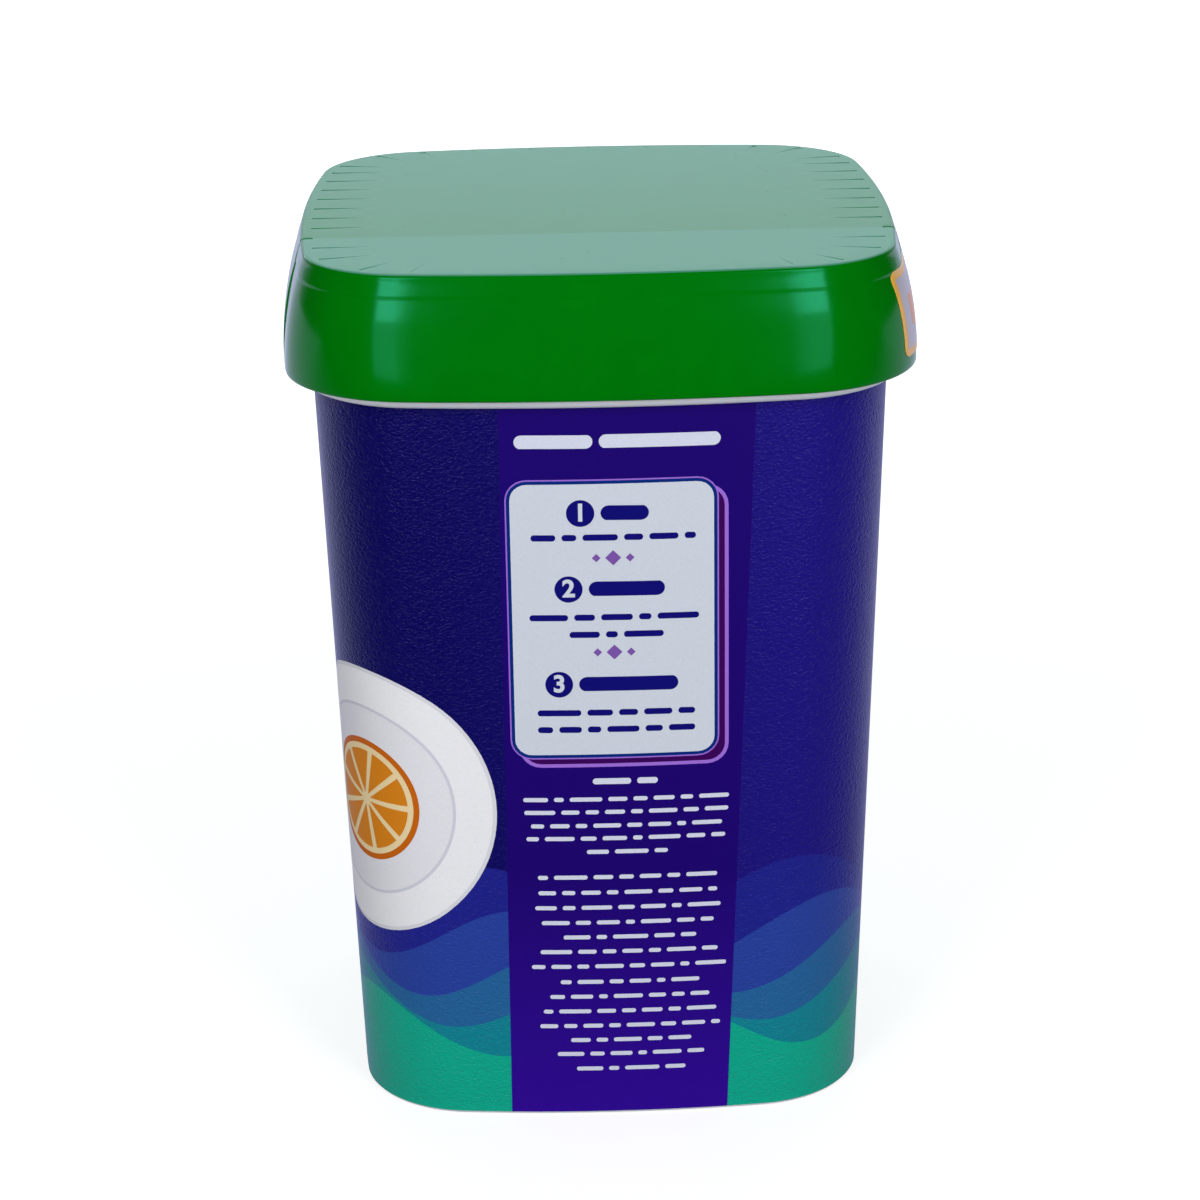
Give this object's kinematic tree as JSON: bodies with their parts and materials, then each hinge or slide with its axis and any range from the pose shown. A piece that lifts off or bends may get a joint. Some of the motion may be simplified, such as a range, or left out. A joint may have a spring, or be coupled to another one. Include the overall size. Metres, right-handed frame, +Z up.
{
  "type": "dishwasher tablet tub",
  "caption": "Tapered rounded-square plastic tub with a flip-top lid on a living hinge, for dishwasher tablets.",
  "frame": {"origin": "middle of the tub's foot, on the ground under the centre of the whole box", "axes": "+Z up, the tub's height; -Y towards the rear cover behind the hinge line; +Y towards the thumb lip of the flip lid"},
  "size_m": [0.1634, 0.1659, 0.23],
  "materials": {
    "tub_plastic": "moulded polypropylene with a printed in-mould film",
    "lid_plastic": "satin moulded polypropylene with a fine grain on top",
    "sticker": "smooth coated paper"
  },
  "bodies": {
    "container": {"tub": "tub_plastic", "rear_cover": "lid_plastic", "side_sticker": "sticker"},
    "lid": {"flip_lid": "lid_plastic"}
  },
  "joints": [
    {"name": "lid_hinge", "type": "hinge", "parent": "container", "child": "lid", "pos_m": [0, -0.03293, 0.23], "axis": [1, 0, 0], "range_deg": [0, 115]}
  ]
}
